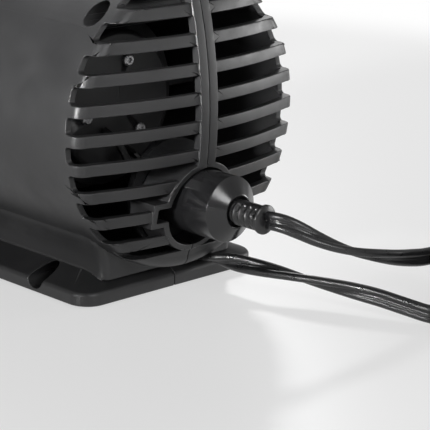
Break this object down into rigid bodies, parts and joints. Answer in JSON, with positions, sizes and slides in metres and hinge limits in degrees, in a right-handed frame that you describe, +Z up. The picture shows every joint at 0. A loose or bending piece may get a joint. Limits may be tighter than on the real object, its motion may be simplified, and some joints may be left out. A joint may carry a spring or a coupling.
{
  "type": "wave maker pump",
  "caption": "Horizontal drum-shaped wave maker pump on a flat foot, with a finned intake grille, a twist-lock lead, a fixed lead and a ball-jointed outlet nozzle.",
  "frame": {"origin": "middle of the underside, in the plane of the rubber feet, without the leads", "axes": "+Z up, +Y along the drum from the intake grille to the outlet nozzle, +X to the right seen from the grille"},
  "size_m": [0.2165, 0.3869, 0.1306],
  "materials": {
    "case_plastic": "black, finely textured",
    "satin_plastic": "black satin",
    "grey_plastic": "dark grey, smooth",
    "rubber": "black, matte",
    "cord_vinyl": "black, glossy soft vinyl",
    "steel": "bright",
    "copper": "varnished copper wire",
    "brass": "bright",
    "magnet": "dark ferrite",
    "ceramic": "white ceramic, polished"
  },
  "bodies": {
    "pump": {"left_shell": "case_plastic", "right_shell": "case_plastic", "motor_can": "satin_plastic", "isolation_can": "satin_plastic", "pump_chamber": "satin_plastic", "bearing_carrier": "satin_plastic", "socket_body": "satin_plastic", "pump_lead_plug": "satin_plastic", "mains_plug": "satin_plastic", "motor_front_cap": "grey_plastic", "plug_insert": "grey_plastic", "rubber_foot_1": "rubber", "rubber_foot_2": "rubber", "rubber_foot_3": "rubber", "rubber_foot_4": "rubber", "front_bush": "rubber", "rear_bush": "rubber", "front_mount_ring": "rubber", "rear_mount_ring": "rubber", "chamber_seal": "rubber", "socket_seal": "rubber", "strain_relief": "rubber", "mains_bush": "rubber", "pump_lead": "cord_vinyl", "pump_lead_coil": "cord_vinyl", "pump_lead_tail": "cord_vinyl", "mains_lead": "cord_vinyl", "mains_lead_coil": "cord_vinyl", "mains_lead_tail": "cord_vinyl", "mains_inner_wire": "cord_vinyl", "socket_inner_wire": "cord_vinyl", "stator_core": "steel", "case_screw_1": "steel", "case_screw_2": "steel", "case_screw_3": "steel", "case_screw_4": "steel", "cap_screw_1": "steel", "cap_screw_2": "steel", "cap_screw_3": "steel", "pump_lead_plug_pin": "steel", "front_winding": "copper", "rear_winding": "copper", "contact_pin_1": "brass", "contact_pin_2": "brass", "mains_plug_blade_1": "brass", "mains_plug_blade_2": "brass", "motor_shaft": "ceramic"},
    "collar": {"lock_collar": "satin_plastic"},
    "rotor": {"rotor_magnet": "magnet", "rotor_sleeve": "grey_plastic", "propeller": "grey_plastic"},
    "ring_nut": {"outlet_ring_nut": "satin_plastic"},
    "nozzle": {"ball_nozzle": "satin_plastic"}
  },
  "joints": [
    {"name": "collar_twist", "type": "hinge", "parent": "pump", "child": "collar", "pos_m": [0, -0.105, 0.0397], "axis": [0, 1, 0], "range_deg": [-45, 0]},
    {"name": "rotor_spin", "type": "hinge", "parent": "pump", "child": "rotor", "pos_m": [0, -0.0134, 0.0706], "axis": [0, 1, 0], "continuous": true},
    {"name": "outlet_turn", "type": "hinge", "parent": "pump", "child": "ring_nut", "pos_m": [0, 0.1036, 0.0706], "axis": [0, 1, 0], "continuous": true},
    {"name": "nozzle_tilt", "type": "hinge", "parent": "ring_nut", "child": "nozzle", "pos_m": [0, 0.1036, 0.0706], "axis": [1, 0, 0], "range_deg": [-15, 15]}
  ]
}
